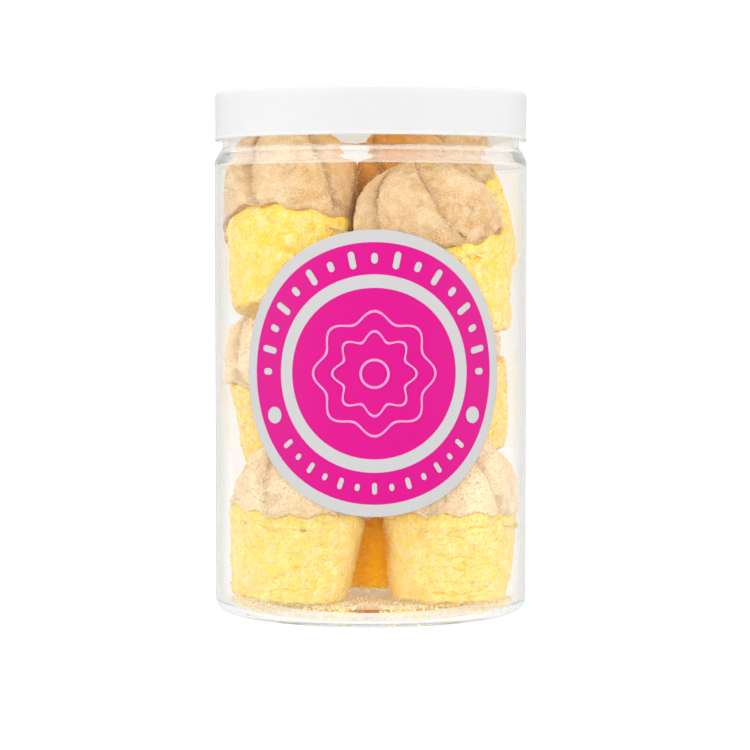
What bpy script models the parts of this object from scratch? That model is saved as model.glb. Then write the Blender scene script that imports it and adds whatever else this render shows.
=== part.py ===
"""A clear screw-top jar of cupcake-shaped marshmallows, with a white cap and a round label.

Metres, +Z up. The origin is the middle of the jar's foot, on the surface it stands on, and -Y is
the front. The jar and cap are turned shells. Each marshmallow is two soft solids, a yellow cup and
a tan swirl, whose points are pressed back where the piece meets a neighbour, the wall or the floor.
"""

import math

import bmesh
import bpy
import numpy as np

MM = 0.001

# Jar: a blown shell with a threadless straight neck, a soft shoulder and a raised middle in its floor
JAR_RADIUS = 50.0 * MM
JAR_WALL = 0.8 * MM
NECK_RADIUS = 47.5 * MM
NECK_WALL = 1.3 * MM
NECK_TOP = 163.4 * MM
SHOULDER_TOP = 148.6 * MM
SHOULDER_BOTTOM = 144.2 * MM
HEEL_RADIUS = 4.2 * MM
FOOT_WIDTH = 6.0 * MM
FLOOR_THICKNESS = 1.6 * MM
FLOOR_RISE = 2.2 * MM
TURNED_STEPS = 64
ARC_STEPS = 4

# Cap
CAP_RADIUS = 50.0 * MM
CAP_TOP = 166.0 * MM
CAP_BOTTOM = 150.6 * MM
CAP_WALL = 1.3 * MM
CAP_EDGE_RADIUS = 1.6 * MM
CAP_RIM_WIDTH = 4.5 * MM
CAP_DISH = 0.4 * MM

# Label: a round sticker that follows the wall
LABEL_RADIUS = 43.7 * MM
LABEL_HEIGHT = 78.1 * MM
LABEL_TURN = math.radians(1.4)
LABEL_THICKNESS = 0.22 * MM
LABEL_GAP = 0.28 * MM
LABEL_SEGMENTS = 40
LABEL_RINGS = 6

# Marshmallow cup and swirl, for a piece of size 1
CUP_FOOT_RADIUS = 18.6 * MM
CUP_FOOT_ROUND = 3.4 * MM
CUP_RIM_RADIUS = 21.8 * MM
CUP_HEIGHT = 31.0 * MM
SEAM_RADIUS = 21.0 * MM
SEAM_FLAT_RADIUS = 15.0 * MM
SWIRL_RADIUS = 22.7 * MM
SWIRL_HEIGHT = 26.5 * MM
LIP_DROOP = 3.0 * MM
FOLD_DEPTH = 0.18
FOLD_TWIST = 0.42
FOLD_RIDGE = 0.8
PIECE_SEGMENTS = 28
CUP_RINGS = 8
SWIRL_RINGS = 9

# Room inside the shut jar that the pieces may fill
GAP = 0.3 * MM
SEAM_GAP = 0.55 * MM
ROOM_RADIUS = JAR_RADIUS - JAR_WALL - 0.5 * MM
ROOM_NECK_RADIUS = NECK_RADIUS - NECK_WALL - 0.4 * MM
ROOM_SHOULDER_BOTTOM = 140.5 * MM
ROOM_SHOULDER_TOP = 144.5 * MM
ROOM_FLOOR = FLOOR_THICKNESS + FLOOR_RISE + 0.5 * MM
ROOM_CEILING = CAP_TOP - CAP_WALL - CAP_DISH - 0.5 * MM

CONTACT_DIRECTIONS = 600


def piece(foot, lean, towards, turn, size, shift=(0, 0), tall=1.0, folds=5):
    """How one marshmallow lies.

    foot is the middle of its foot in millimetres. lean is how many degrees it leans, and towards
    the way it leans, where 0 is +X and 90 is +Y. turn is its turn about its own axis, and size its
    size. shift is how far its swirl sits off centre, in millimetres, tall how tall that swirl is
    beside the usual one, and folds its number of folds.
    """
    return dict(
        foot=foot, lean=lean, towards=towards, turn=turn, size=size, shift=shift, tall=tall, folds=folds
    )


PIECES = {
    "low_left": piece((-26.0, -15.5, 4.4), 6.5, 0, 20, 1.0),
    "low_right": piece((24.6, -14.5, 4.4), 1, 0, 75, 1.0, folds=6),
    "low_back": piece((0.0, 27.0, 4.4), 0, 0, 10, 1.0),
    "mid_left": piece((-23.5, 16.5, 46.0), 9, 245, 140, 0.97, shift=(-1.5, 0)),
    "mid_right": piece((27.0, 14.0, 48.5), 7, 180, 200, 0.98, shift=(-4, 0), folds=6),
    "mid_front": piece((0.5, -26.0, 54.0), 3, 90, 50, 0.86),
    "top_left": piece((-25.0, -19.0, 95.0), 15, 78, 100, 1.0, shift=(-2, 0), tall=1.3),
    "top_right": piece((26.0, -16.5, 88.0), 8, 180, -8, 1.02, shift=(-4, -1.5), folds=6),
    "top_back": piece((34.5, 15.5, 105.0), 25, 182, 30, 1.0, shift=(-1, 0), tall=1.2),
    "top_corner": piece((-19.5, 27.0, 98.5), 4, 120, 60, 0.82),
}


def material(name, colour, roughness, **more):
    """A Principled material."""
    made = bpy.data.materials.new(name)
    made.use_nodes = True
    shader = made.node_tree.nodes["Principled BSDF"]
    shader.inputs["Base Color"].default_value = (*colour, 1.0)
    shader.inputs["Roughness"].default_value = roughness
    for socket, value in more.items():
        shader.inputs[socket.replace("_", " ")].default_value = value
    return made


def arc(centre, radius, start, end, steps):
    """Points of an arc in the profile plane, as (radius, height), with angles in degrees."""
    turns = [math.radians(start + (end - start) * i / steps) for i in range(steps + 1)]
    return [(centre[0] + radius * math.cos(t), centre[1] + radius * math.sin(t)) for t in turns]


def turned(name, profile, finish, collection):
    """Turns a profile, which runs down its outer side, about Z."""
    mesh = bpy.data.meshes.new(name)
    edges = [(i, i + 1) for i in range(len(profile) - 1)]
    mesh.from_pydata([(r, 0.0, z) for r, z in profile], edges, [])
    obj = bpy.data.objects.new(name, mesh)
    collection.objects.link(obj)
    screw = obj.modifiers.new("turn", "SCREW")
    screw.steps = screw.render_steps = TURNED_STEPS
    screw.use_merge_vertices = True
    screw.merge_threshold = 0.00001
    screw.use_smooth_shade = True
    mesh.materials.append(finish)
    return obj


def jar(collection):
    """The clear body: up inside from the raised floor, over the lip, and down outside to the foot."""
    inner = JAR_RADIUS - JAR_WALL
    neck_inner = NECK_RADIUS - NECK_WALL
    heel_inner = HEEL_RADIUS - JAR_WALL
    foot_outer = JAR_RADIUS - HEEL_RADIUS
    foot_inner = foot_outer - FOOT_WIDTH
    raised_radius = foot_inner - 5.0 * MM
    floor_top = FLOOR_THICKNESS + FLOOR_RISE
    lip = 0.5 * MM
    profile = [(0.0, floor_top), (raised_radius, floor_top)]
    profile += [(foot_inner + 1.5 * MM, FLOOR_THICKNESS + 0.3 * MM)]
    profile += arc((inner - heel_inner, FLOOR_THICKNESS + heel_inner), heel_inner, -90, 0, ARC_STEPS)
    profile += [(inner, SHOULDER_BOTTOM - 2.0 * MM), (inner - 0.7 * MM, SHOULDER_BOTTOM)]
    profile += [(neck_inner + 0.6 * MM, SHOULDER_TOP - 1.8 * MM), (neck_inner, SHOULDER_TOP)]
    profile += [(neck_inner, NECK_TOP - lip), (neck_inner + lip, NECK_TOP)]
    profile += [(NECK_RADIUS - lip, NECK_TOP), (NECK_RADIUS, NECK_TOP - lip)]
    profile += [(NECK_RADIUS, SHOULDER_TOP), (NECK_RADIUS + 0.8 * MM, SHOULDER_TOP - 1.1 * MM)]
    profile += [(JAR_RADIUS - 0.6 * MM, SHOULDER_BOTTOM + 1.3 * MM), (JAR_RADIUS, SHOULDER_BOTTOM)]
    profile += arc((JAR_RADIUS - HEEL_RADIUS, HEEL_RADIUS), HEEL_RADIUS, 0, -90, ARC_STEPS)
    profile += [(foot_inner, 0.0), (raised_radius, FLOOR_RISE), (0.0, FLOOR_RISE)]
    clear = material("clear_plastic", (0.97, 0.98, 0.98), 0.03, Transmission_Weight=1.0, IOR=1.5)
    return turned("jar", profile, clear, collection)


def cap(collection):
    """The white cap: a shallow dished top inside a rounded edge, over a plain skirt."""
    inside = CAP_RADIUS - CAP_WALL
    ceiling = CAP_TOP - CAP_DISH - CAP_WALL
    rim_inner = CAP_RADIUS - CAP_RIM_WIDTH
    dish = CAP_TOP - CAP_DISH
    profile = [(0.0, dish), (rim_inner - CAP_DISH, dish), (rim_inner, CAP_TOP)]
    centre = (CAP_RADIUS - CAP_EDGE_RADIUS, CAP_TOP - CAP_EDGE_RADIUS)
    profile += arc(centre, CAP_EDGE_RADIUS, 90, 0, ARC_STEPS)
    profile += [(CAP_RADIUS, CAP_BOTTOM + 0.3 * MM), (CAP_RADIUS - 0.3 * MM, CAP_BOTTOM)]
    profile += [(inside, CAP_BOTTOM), (inside, ceiling), (0.0, ceiling)]
    white = material("white_cap", (0.86, 0.86, 0.85), 0.42)
    return turned("cap", profile, white, collection)


def label(collection):
    """The sticker: a flat disc of rings wrapped round the wall, then given its thickness outwards."""
    mesh = bpy.data.meshes.new("label")
    shape = bmesh.new()
    bmesh.ops.create_uvsphere(shape, u_segments=LABEL_SEGMENTS, v_segments=2 * LABEL_RINGS, radius=1.0)
    bmesh.ops.delete(shape, geom=[vert for vert in shape.verts if vert.co.z < -0.01], context="VERTS")
    for vert in shape.verts:
        reach = LABEL_RADIUS * math.acos(min(1.0, vert.co.z)) / (math.pi / 2)
        around = math.atan2(vert.co.y, vert.co.x)
        vert.co = (reach * math.cos(around), reach * math.sin(around), 0.0)
    radius = JAR_RADIUS + LABEL_GAP
    for vert in shape.verts:
        turn = LABEL_TURN + vert.co.x / radius
        vert.co = (radius * math.sin(turn), -radius * math.cos(turn), LABEL_HEIGHT + vert.co.y)
    bmesh.ops.recalc_face_normals(shape, faces=shape.faces[:])
    if sum(face.normal.y for face in shape.faces) > 0:
        bmesh.ops.reverse_faces(shape, faces=shape.faces[:])
    shape.to_mesh(mesh)
    shape.free()
    obj = bpy.data.objects.new("label", mesh)
    collection.objects.link(obj)
    thick = obj.modifiers.new("thickness", "SOLIDIFY")
    thick.thickness = LABEL_THICKNESS
    thick.offset = 1.0
    mesh.materials.append(material("label_print", (0.83, 0.01, 0.29), 0.45))
    return obj


def droop(around, lie):
    """How far the swirl's lip hangs below the cup's top at each angle, from 0 to LIP_DROOP."""
    wander = 0.5 + 0.3 * np.sin(2 * around + lie["turn"]) + 0.2 * np.sin(3 * around - 2.1 * lie["turn"])
    return LIP_DROOP * np.clip(wander, 0, 1)


def cup_stations(around, lie):
    """The cup's outline from foot to top at each angle: a list of (radius, height)."""
    hang = droop(around, lie)
    seam = CUP_HEIGHT - SEAM_GAP / 2
    foot = CUP_FOOT_RADIUS * (1 + 0.02 * np.sin(2 * around + 3 * lie["turn"]))
    rim = CUP_RIM_RADIUS * (1 + 0.012 * np.sin(3 * around + 5 * lie["turn"]))
    return [
        (0 * around, 0 * around),
        (foot - CUP_FOOT_ROUND, 0 * around),
        (foot, CUP_FOOT_ROUND + 0 * around),
        (foot + 0.45 * (rim - foot), 0.42 * CUP_HEIGHT + 0 * around),
        (foot + 0.85 * (rim - foot), 0.72 * CUP_HEIGHT + 0 * around),
        (rim, CUP_HEIGHT - 2.2 * MM - hang),
        (SEAM_RADIUS + 0 * around, seam - hang),
        (SEAM_FLAT_RADIUS + 0 * around, seam + 0 * around),
        (0 * around, seam + 0 * around),
    ]


def folded(around, share, lie):
    """How far the folds swell or cut the swirl's radius.

    Each fold rises slowly to a ridge and drops quickly into a crease, like a lapped petal, and all
    twist as they rise.
    """
    fold = around * lie["folds"] / (2 * math.pi) + FOLD_TWIST * share + 0.11 * np.sin(around + lie["turn"])
    across = fold % 1.0
    rise = np.clip(across / FOLD_RIDGE, 0, 1) ** 0.75
    fall = np.clip((1 - across) / (1 - FOLD_RIDGE), 0, 1)
    lobe = rise * fall**1.4 * (3 - 2 * fall)
    depth = FOLD_DEPTH * math.sin(math.pi * min(0.92, 0.16 + 0.84 * share))
    return 1 + depth * (1.3 * lobe - 0.85)


def swirl_stations(around, lie):
    """The swirl's outline from its seam to its tip at each angle: a list of (radius, height)."""
    hang = droop(around, lie)
    seam = CUP_HEIGHT + SEAM_GAP / 2
    height = SWIRL_HEIGHT * lie["tall"]
    dome = [(0.99, 0.08), (1.0, 0.25), (0.93, 0.46), (0.745, 0.68), (0.47, 0.87), (0.16, 0.97)]
    stations = [
        (0 * around, seam + 0 * around),
        (SEAM_FLAT_RADIUS + 0 * around, seam + 0 * around),
        (SEAM_RADIUS + 0 * around, seam - hang),
    ]
    for wide, high in dome:
        radius = SWIRL_RADIUS * wide * folded(around, high, lie)
        stations.append((radius, seam + height * high - hang * max(0.0, 1 - 4 * high)))
    stations.append((0 * around, seam + height + 0 * around))
    return stations


def ball(rings):
    """A ball's mesh, with the ring number and angle of each of its points."""
    shape = bmesh.new()
    bmesh.ops.create_uvsphere(shape, u_segments=PIECE_SEGMENTS, v_segments=rings, radius=1.0)
    points = np.array([vert.co[:] for vert in shape.verts])
    ring = np.rint((1 - np.arccos(np.clip(points[:, 2], -1, 1)) / math.pi) * rings).astype(int)
    around = np.arctan2(points[:, 1], points[:, 0])
    return shape, ring, around


def placed(local, lie):
    """Moves a piece's own points, in metres, to where it lies in the jar."""
    turn = math.radians(lie["turn"])
    lean = math.radians(lie["lean"])
    towards = math.radians(lie["towards"])
    sine = math.sin(turn)
    cosine = math.cos(turn)
    spin = np.array([[cosine, -sine, 0], [sine, cosine, 0], [0, 0, 1]])
    axis = np.array([-math.sin(towards), math.cos(towards), 0])
    cross = np.array([[0, -axis[2], axis[1]], [axis[2], 0, -axis[0]], [-axis[1], axis[0], 0]])
    tip = np.eye(3) + math.sin(lean) * cross + (1 - math.cos(lean)) * cross @ cross
    return lie["size"] * (local @ spin.T) @ tip.T + np.array(lie["foot"]) * MM


def formed(stations, rings, shift, lie):
    """A ball's mesh and its points, moved out to a piece's outline and set in place.

    The shift moves what lies outside the seam sideways, so the cup and swirl still meet there.
    """
    shape, ring, around = ball(rings)
    outline = stations(around, lie)
    radius = np.array([r for r, _ in outline])[ring, np.arange(len(ring))]
    height = np.array([z for _, z in outline])[ring, np.arange(len(ring))]
    turn = math.radians(lie["turn"])
    off_x = (math.cos(turn) * shift[0] + math.sin(turn) * shift[1]) * MM
    off_y = (math.cos(turn) * shift[1] - math.sin(turn) * shift[0]) * MM
    outside = ring > 2
    local_x = radius * np.cos(around) + off_x * outside
    local_y = radius * np.sin(around) + off_y * outside
    return shape, placed(np.column_stack([local_x, local_y, height]), lie)


def directions(count):
    """Unit vectors spread evenly over a ball, on a golden spiral."""
    k = np.arange(count) + 0.5
    z = 1 - 2 * k / count
    turn = k * math.pi * (3 - math.sqrt(5))
    return np.column_stack([np.sqrt(1 - z * z) * np.cos(turn), np.sqrt(1 - z * z) * np.sin(turn), z])


def contacts(clouds):
    """For each lie, the planes (outward normal, distance) where its neighbours press it.

    Each pair is pressed along the direction in which the two overlap least, half on each side.
    """
    planes = {name: [] for name in clouds}
    ways = directions(CONTACT_DIRECTIONS)
    names = list(clouds)
    for i, first in enumerate(names):
        for second in names[i + 1:]:
            reach = (clouds[first] @ ways.T).max(axis=0)
            begin = (clouds[second] @ ways.T).min(axis=0)
            best = int(np.argmin(reach - begin))
            if reach[best] - begin[best] < -GAP:
                continue
            middle = (reach[best] + begin[best]) / 2
            planes[first].append((ways[best], middle - GAP / 2))
            planes[second].append((-ways[best], -middle - GAP / 2))
    return planes


def room_left(points, planes):
    """How far inside the jar and its neighbours' planes each point is. Below zero it is outside."""
    across = np.hypot(points[:, 0], points[:, 1])
    rise = (points[:, 2] - ROOM_SHOULDER_BOTTOM) / (ROOM_SHOULDER_TOP - ROOM_SHOULDER_BOTTOM)
    width = ROOM_RADIUS + (ROOM_NECK_RADIUS - ROOM_RADIUS) * np.clip(rise, 0, 1)
    room = np.minimum.reduce([width - across, points[:, 2] - ROOM_FLOOR, ROOM_CEILING - points[:, 2]])
    for normal, distance in planes:
        room = np.minimum(room, distance - points @ normal)
    return room


def pressed(points, centre, planes):
    """Draws each point towards the solid's centre until it is inside the room it has."""
    low = np.zeros(len(points))
    high = np.ones(len(points))
    for _ in range(24):
        middle = (low + high) / 2
        inside = room_left(centre + middle[:, None] * (points - centre), planes) >= 0
        low = np.where(inside, middle, low)
        high = np.where(inside, high, middle)
    whole = room_left(points, planes) >= 0
    share = np.where(whole, 1.0, low)
    return centre + share[:, None] * (points - centre)


def add_solid(name, shape, points, finish, collection):
    """Writes the pressed points into the ball's mesh and adds it as an object."""
    for vert, point in zip(shape.verts, points):
        vert.co = point
    bmesh.ops.recalc_face_normals(shape, faces=shape.faces[:])
    mesh = bpy.data.meshes.new(name)
    shape.to_mesh(mesh)
    shape.free()
    mesh.shade_smooth()
    mesh.materials.append(finish)
    collection.objects.link(bpy.data.objects.new(name, mesh))


def marshmallows(collection):
    """Forms every lie, finds where they press on each other, and adds each cup and swirl."""
    yellow = material("yellow_foam", (0.93, 0.66, 0.12), 0.85)
    tan = material("tan_foam", (0.72, 0.47, 0.25), 0.88)
    cups = {}
    swirls = {}
    for name, lie in PIECES.items():
        cups[name] = formed(cup_stations, CUP_RINGS, (0, 0), lie)
        swirls[name] = formed(swirl_stations, SWIRL_RINGS, lie["shift"], lie)
    planes = contacts({name: np.vstack([cups[name][1], swirls[name][1]]) for name in PIECES})
    for name, lie in PIECES.items():
        centre = placed(np.array([[0, 0, CUP_HEIGHT]]), lie)[0]
        for kind, solid, finish in (("cup", cups[name], yellow), ("swirl", swirls[name], tan)):
            shape, points = solid
            points = pressed(points, centre, planes[name])
            add_solid(f"{name}_{kind}", shape, points, finish, collection)


def main():
    for obj in list(bpy.data.objects):
        bpy.data.objects.remove(obj)
    collection = bpy.data.collections.new("marshmallow_jar")
    bpy.context.scene.collection.children.link(collection)
    jar(collection)
    cap(collection)
    label(collection)
    marshmallows(collection)


main()
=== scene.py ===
"""A clear screw-top jar of cupcake-shaped marshmallows on a white table, in soft white light.

Metres, +Z up, -Y the front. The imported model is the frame. Each section below makes one piece or
one kind of piece: its sizes, its surface, its material, and how it joins the frame.
"""

import math

import bpy
import numpy as np
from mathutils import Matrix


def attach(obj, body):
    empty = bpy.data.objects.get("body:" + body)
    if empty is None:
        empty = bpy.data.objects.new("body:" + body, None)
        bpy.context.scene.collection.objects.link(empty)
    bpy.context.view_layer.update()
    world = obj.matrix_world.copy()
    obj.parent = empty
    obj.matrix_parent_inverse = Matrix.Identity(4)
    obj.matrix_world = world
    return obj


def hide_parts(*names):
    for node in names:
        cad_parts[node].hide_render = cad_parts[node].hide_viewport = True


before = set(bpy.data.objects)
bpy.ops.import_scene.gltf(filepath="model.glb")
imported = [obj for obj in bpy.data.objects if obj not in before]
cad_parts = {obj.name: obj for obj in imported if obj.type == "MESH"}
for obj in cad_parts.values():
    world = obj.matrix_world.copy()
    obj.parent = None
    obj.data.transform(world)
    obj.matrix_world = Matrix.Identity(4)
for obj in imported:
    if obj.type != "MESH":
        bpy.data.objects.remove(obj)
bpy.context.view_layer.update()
MM = 0.001


# The jar. Blown clear plastic with a straight body, a soft shoulder under a slightly narrower
# neck, and a raised middle in its floor, so that it stands on a ring. A mould line runs up
# each side. It holds everything else, and the cap screws on to its neck.
JAR_CORNERS = [
    (0, 3.8, 0), (34.8, 3.8, 4), (41.3, 1.6, 4), (49.2, 1.6, 3.4), (49.2, 143.4, 3.5), (46.2, 147.6, 3),
    (46.2, 163.4, 0.6), (47.5, 163.4, 0.6), (47.5, 147.9, 0.9), (48.2, 147.3, 0.7), (50, 144.0, 3.2),
    (50, 0, 4.2), (39.8, 0, 3), (34.8, 2.2, 3), (0, 2.2, 0),
]
MOULD_LINE_TURN = math.radians(-105)
MOULD_LINE_HEIGHT = 0.006 * MM
MOULD_LINE_WIDTH = math.radians(0.4)
MOULD_LINE_FADE = (60 * MM, 80 * MM)
PAINTED_SHINE_FROM = 142.0 * MM
PAINTED_SHINE_TO = 147.8 * MM
PAINTED_SHINE = [(0.01, 0), (0.06, 0.25), (0.14, 0.15), (0.5, 0.14), (0.66, 0.06), (0.78, 0.32), (0.88, 0.16),
        (0.99, 0)]
CLEAR = (0.925, 0.912, 0.893)
PAINTED_SHINE_COLOUR = (0.62, 0.6, 0.57, 1)
EDGE_COLOUR = (0.46, 0.475, 0.45, 1)
EDGE_SLANT = (0.6, 0.95)
EDGE_GREY = 0.35
MOST_BOUNCES = 5.5


def rounded(corners, steps=6, run=2.5):
    """A smooth profile through corners given as (radius, height, rounding), all in millimetres.

    Each corner is cut by an arc that touches both its sides, and straight runs longer than run
    are divided evenly.
    """
    flat = np.array(corners, float)
    path = [flat[0, :2]]
    for before, corner, after in zip(flat[:-2], flat[1:-1], flat[2:]):
        into = (before - corner)[:2] / np.hypot(*(before - corner)[:2])
        out = (after - corner)[:2] / np.hypot(*(after - corner)[:2])
        half = math.acos(np.clip(into @ out, -1, 1)) / 2
        if corner[2] == 0 or half > 1.565:
            path.append(corner[:2])
            continue
        middle = corner[:2] + (into + out) / np.hypot(*(into + out)) * corner[2] / math.sin(half)
        start = corner[:2] + into * corner[2] / math.tan(half) - middle
        end = corner[:2] + out * corner[2] / math.tan(half) - middle
        sweep = math.atan2(start[0] * end[1] - start[1] * end[0], start @ end)
        for turn in np.linspace(0, sweep, steps + 1):
            spin = np.array([[math.cos(turn), -math.sin(turn)], [math.sin(turn), math.cos(turn)]])
            path.append(middle + spin @ start)
    path.append(flat[-1, :2])
    dense = [path[0]]
    for here, there in zip(path[:-1], path[1:]):
        parts = max(1, math.ceil(np.hypot(*(there - here)) / run))
        dense += [here + (there - here) * k / parts for k in range(1, parts + 1)]
    return np.array(dense) * MM


def lathe(profile, angles):
    """Rows of points of a profile, as (radius, height), turned to each of the angles round Z."""
    return np.stack([profile[:, :1] * np.cos(angles), profile[:, :1] * np.sin(angles),
                     profile[:, 1:] + 0 * angles], axis=-1)


even_turns = np.linspace(0, 2 * math.pi, 240, endpoint=False)
jar_turns = MOULD_LINE_TURN + even_turns - 0.4 * np.sin(2 * even_turns)
jar_rows = lathe(rounded(JAR_CORNERS, steps=8)[::-1], jar_turns)
from_line = np.abs((jar_turns - MOULD_LINE_TURN + math.pi / 2) % math.pi - math.pi / 2)
ridge = MOULD_LINE_HEIGHT * np.exp(-((from_line / MOULD_LINE_WIDTH) ** 2))
reach = np.hypot(jar_rows[..., 0], jar_rows[..., 1])
outside = reach > 49.6 * MM
ridge = ridge * np.interp(jar_rows[..., 2], MOULD_LINE_FADE, (0, 1))
jar_rows[..., :2] *= np.where(outside, 1 + ridge / np.maximum(reach, MM), 1)[..., None]


def principled(name, colour, roughness, **sockets):
    """A new material with its Principled shader set, as (material, nodes, links, shader)."""
    made = bpy.data.materials.new(name)
    made.use_nodes = True
    nodes, links = made.node_tree.nodes, made.node_tree.links
    shader = nodes["Principled BSDF"]
    shader.inputs["Base Color"].default_value = (*colour, 1.0)
    shader.inputs["Roughness"].default_value = roughness
    for socket, value in sockets.items():
        shader.inputs[socket.replace("_", " ")].default_value = value
    return made, nodes, links, shader


def between(nodes, links, value, start, end, low=0.0, high=1.0):
    """A number that goes evenly from low to high as the value goes from start to end."""
    step = nodes.new("ShaderNodeMapRange")
    for socket, number in (("From Min", start), ("From Max", end), ("To Min", low), ("To Max", high)):
        step.inputs[socket].default_value = number
    links.new(value, step.inputs["Value"])
    return step.outputs["Result"]


def feed(links, socket, value):
    """Gives a socket a plain value, or joins another node's output to it."""
    if isinstance(value, bpy.types.NodeSocket):
        links.new(value, socket)
    else:
        socket.default_value = value


def worked_out(nodes, links, operation, *values):
    """The result of one sum on numbers or on other nodes' outputs."""
    step = nodes.new("ShaderNodeMath")
    step.operation = operation
    for place, value in enumerate(values):
        feed(links, step.inputs[place], value)
    return step.outputs["Value"]


def mottle(nodes, links, place, scale, detail=2.0):
    """A random pattern over the given place, from 0 to 1, with scale patches in a metre."""
    pattern = nodes.new("ShaderNodeTexNoise")
    pattern.inputs["Scale"].default_value = scale
    pattern.inputs["Detail"].default_value = detail
    links.new(place, pattern.inputs["Vector"])
    return pattern.outputs["Fac"]


def roughened(nodes, links, shader, height, strength, distance):
    """Raises a shader's surface by a height from 0 to 1, times the distance in metres."""
    bump = nodes.new("ShaderNodeBump")
    bump.inputs["Strength"].default_value = strength
    bump.inputs["Distance"].default_value = distance
    links.new(height, bump.inputs["Height"])
    links.new(bump.outputs["Normal"], shader.inputs["Normal"])


def laid_over(nodes, links, share, under, over):
    """One shader laid over another, and the share of it that shows."""
    mix = nodes.new("ShaderNodeMixShader")
    links.new(share, mix.inputs["Fac"])
    links.new(under, mix.inputs[1])
    links.new(over, mix.inputs[2])
    return mix.outputs["Shader"]


def plain_shader(nodes, kind, colour):
    """A diffuse or transparent shader of one colour."""
    made = nodes.new(kind)
    made.inputs["Color"].default_value = colour
    return made.outputs["BSDF"]


clear, nodes, links, shader = principled("clear_plastic", CLEAR, 0.01, Transmission_Weight=1.0, IOR=1.42)
shader.inputs["Specular Tint"].default_value = (0.3, 0.3, 0.3, 1)
where = nodes.new("ShaderNodeTexCoord").outputs["Object"]
roughened(nodes, links, shader, mottle(nodes, links, where, 55, 1.5), 0.05, 0.6 * MM)

# The shoulder carries a painted reflection: a pale diffuse shader laid over the plastic in a few
# bands, standing in for the lamps' light reflected in its curve. The list of stops above gives its
# share at each share of the way from the lower to the upper of the two heights above it. Where the
# wall is seen edge on, it looks grey.
split = nodes.new("ShaderNodeSeparateXYZ")
links.new(where, split.inputs["Vector"])
band = nodes.new("ShaderNodeValToRGB")
for end in band.color_ramp.elements:
    end.color = (0, 0, 0, 1)
for place, grey in PAINTED_SHINE:
    stop = band.color_ramp.elements.new(place)
    stop.color = (grey, grey, grey, 1)
links.new(between(nodes, links, split.outputs["Z"], PAINTED_SHINE_FROM, PAINTED_SHINE_TO), band.inputs["Fac"])
painted_shine = plain_shader(nodes, "ShaderNodeBsdfDiffuse", PAINTED_SHINE_COLOUR)
with_painted_shine = laid_over(nodes, links, band.outputs["Color"], shader.outputs["BSDF"], painted_shine)
# The grey at the edges is painted shade: a grey diffuse shader mixed in by the viewing angle, which stands
# in for the darker look of the wall seen edge on.
slant = nodes.new("ShaderNodeLayerWeight")
slant.inputs["Blend"].default_value = 0.5
edge_share = between(nodes, links, slant.outputs["Facing"], *EDGE_SLANT, 0.0, EDGE_GREY)
edge = plain_shader(nodes, "ShaderNodeBsdfDiffuse", EDGE_COLOUR)
edged = laid_over(nodes, links, edge_share, with_painted_shine, edge)

# Light for shadows goes straight through, and so does light that has been caught in the wall.
path = nodes.new("ShaderNodeLightPath")
trapped = worked_out(nodes, links, "GREATER_THAN", path.outputs["Ray Depth"], MOST_BOUNCES)
passing = worked_out(nodes, links, "MAXIMUM", path.outputs["Is Shadow Ray"], trapped)
through = plain_shader(nodes, "ShaderNodeBsdfTransparent", (1, 1, 1, 1))
whole = laid_over(nodes, links, passing, edged, through)
links.new(whole, nodes["Material Output"].inputs["Surface"])


def surface(name, rows, material, closed_round=True, patch=None):
    """A smooth mesh through rows of points, given as an array of rows by columns by 3.

    The rows run from one end to the other and the columns round it. A first or last row whose
    points all meet becomes one shared vertex. Patch gives each row gap its material's number.
    """
    count, around = rows.shape[:2]
    meets = [bool(np.ptp(row, axis=0).max() < 1e-9) for row in (rows[0], rows[-1])]
    first, last = int(meets[0]), count - int(meets[1])
    points = [rows[first:last].reshape(-1, 3)]
    ring = np.arange(last - first)[:, None] * around + np.arange(around)[None, :]
    spans = around if closed_round else around - 1
    here, there = np.arange(spans), (np.arange(spans) + 1) % around
    low, high = ring[:-1], ring[1:]
    quads = np.stack([low[:, here], low[:, there], high[:, there], high[:, here]], axis=-1)
    faces = quads.reshape(-1, 4).tolist()
    bands = np.repeat(np.arange(last - first - 1) + first, spans).tolist()
    total = (last - first) * around
    for end, row, line in ((0, rows[0], ring[0]), (1, rows[-1], ring[-1])):
        if meets[end]:
            points.append(row[:1])
            turn = (line[there], line[here]) if end == 0 else (line[here], line[there])
            faces += np.stack([*turn, np.full(spans, total)], axis=-1).tolist()
            bands += [0 if end == 0 else count - 2] * spans
            total += 1
    mesh = bpy.data.meshes.new(name)
    mesh.from_pydata(np.vstack(points).tolist(), [], faces)
    mesh.shade_smooth()
    for one in material if isinstance(material, list) else [material]:
        mesh.materials.append(one)
    if patch is not None:
        mesh.polygons.foreach_set("material_index", np.asarray(patch)[bands])
    piece = bpy.data.objects.new(name, mesh)
    bpy.context.scene.collection.objects.link(piece)
    return piece


jar = surface("clear_jar", jar_rows, clear)
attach(jar, "root")
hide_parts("jar")


# The cap. Smooth white moulded plastic, screwed on: a shallow dish in its top inside a rounded
# edge, over a plain skirt with a fine bead along its foot.
CAP_CORNERS = [
    (0, 165.6, 0), (45.1, 165.6, 0.4), (45.7, 166.0, 0.4), (50, 166.0, 1.6), (49.75, 151.9, 0.5),
    (50, 151.4, 0.3), (50, 150.6, 0.3), (48.7, 150.6, 0.25), (48.7, 164.2, 1), (0, 164.2, 0),
]
CAP_COLOUR = (0.43, 0.43, 0.424)
CAP_SHADE = (0.75, 0.74, 0.72, 1)
CAP_GLOW = 0.45
LINING_RADIUS = (48.9 * MM, 49.3 * MM)
LINING_TOP = (164.4 * MM, 165.2 * MM)

white, nodes, links, shader = principled(
    "white_cap", CAP_COLOUR, 0.36, Subsurface_Weight=0.5, Subsurface_Scale=1.0)
shader.inputs["Subsurface Radius"].default_value = (2 * MM, 2 * MM, 2 * MM)
shader.inputs["Specular IOR Level"].default_value = 0.12
where = nodes.new("ShaderNodeTexCoord").outputs["Object"]
roughened(nodes, links, shader, mottle(nodes, links, where, 900), 0.12, 0.1 * MM)
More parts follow.
